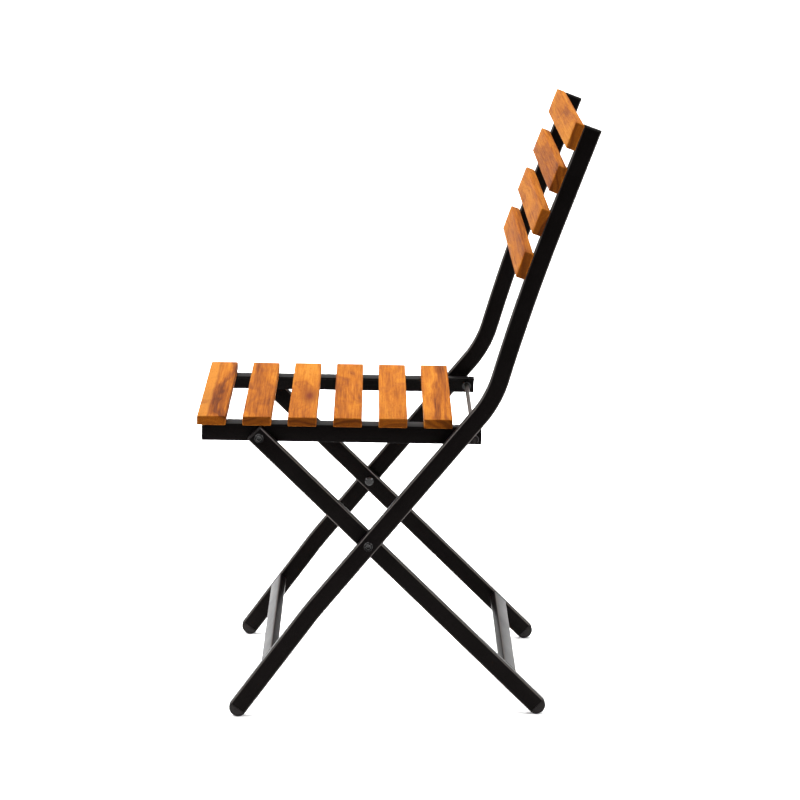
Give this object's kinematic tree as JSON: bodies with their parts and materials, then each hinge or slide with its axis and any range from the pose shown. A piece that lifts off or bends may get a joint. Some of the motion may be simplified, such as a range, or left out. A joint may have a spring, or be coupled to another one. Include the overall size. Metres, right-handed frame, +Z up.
{
  "type": "folding garden chair",
  "caption": "Folding garden chair: slatted wood seat and back on a crossed, powder-coated steel tube frame that folds flat about side pivots.",
  "frame": {"origin": "on the floor, under the middle of the chair's overall box", "axes": "+X to the rear of the chair (the sitter faces -X), +Y to the sitter's right-hand side of the frame as seen from the back, +Z up"},
  "size_m": [0.5424, 0.427, 0.8269],
  "materials": {
    "steel": "black satin powder coat",
    "acacia": "oiled, honey brown, fine open grain",
    "plastic": "moulded black, slightly rough",
    "fasteners": "blackened, worn at the edges"
  },
  "bodies": {
    "back_frame": {"side_tube_left": "steel", "side_tube_right": "steel", "front_stretcher": "steel", "seat_rest_rod": "steel", "back_slat_1": "acacia", "back_slat_2": "acacia", "back_slat_3": "acacia", "back_slat_4": "acacia", "back_slat_screws": "fasteners", "side_tube_top_plugs": "plastic", "front_foot_plugs": "plastic", "cross_pivot_bolts": "fasteners", "cross_pivot_washers": "fasteners", "cross_pivot_nuts": "fasteners"},
    "rear_legs": {"rear_leg_left": "steel", "rear_leg_right": "steel", "rear_stretcher": "steel", "rear_leg_top_plugs": "plastic", "rear_foot_plugs": "plastic"},
    "seat": {"seat_rail_left": "steel", "seat_rail_right": "steel", "seat_slat_1": "acacia", "seat_slat_2": "acacia", "seat_slat_3": "acacia", "seat_slat_4": "acacia", "seat_slat_5": "acacia", "seat_slat_6": "acacia", "seat_slat_screws": "fasteners", "seat_rear_rod": "steel", "seat_rod_collars": "fasteners", "seat_rod_caps": "plastic", "seat_pivot_bolts": "fasteners", "seat_pivot_washers": "fasteners", "seat_pivot_nuts": "fasteners"}
  },
  "joints": [
    {"name": "fold", "type": "hinge", "parent": "back_frame", "child": "rear_legs", "pos_m": [-0.0369, 0, 0.2435], "axis": [0, 1, 0], "range_deg": [0, 78]},
    {"name": "seat_tilt", "type": "hinge", "parent": "rear_legs", "child": "seat", "pos_m": [-0.18621, 0, 0.39074], "axis": [0, 1, 0], "range_deg": [-129.5, 0]}
  ],
  "couplings": [
    {"joint": "seat_tilt", "follows": "fold", "ratio": -1.66}
  ]
}
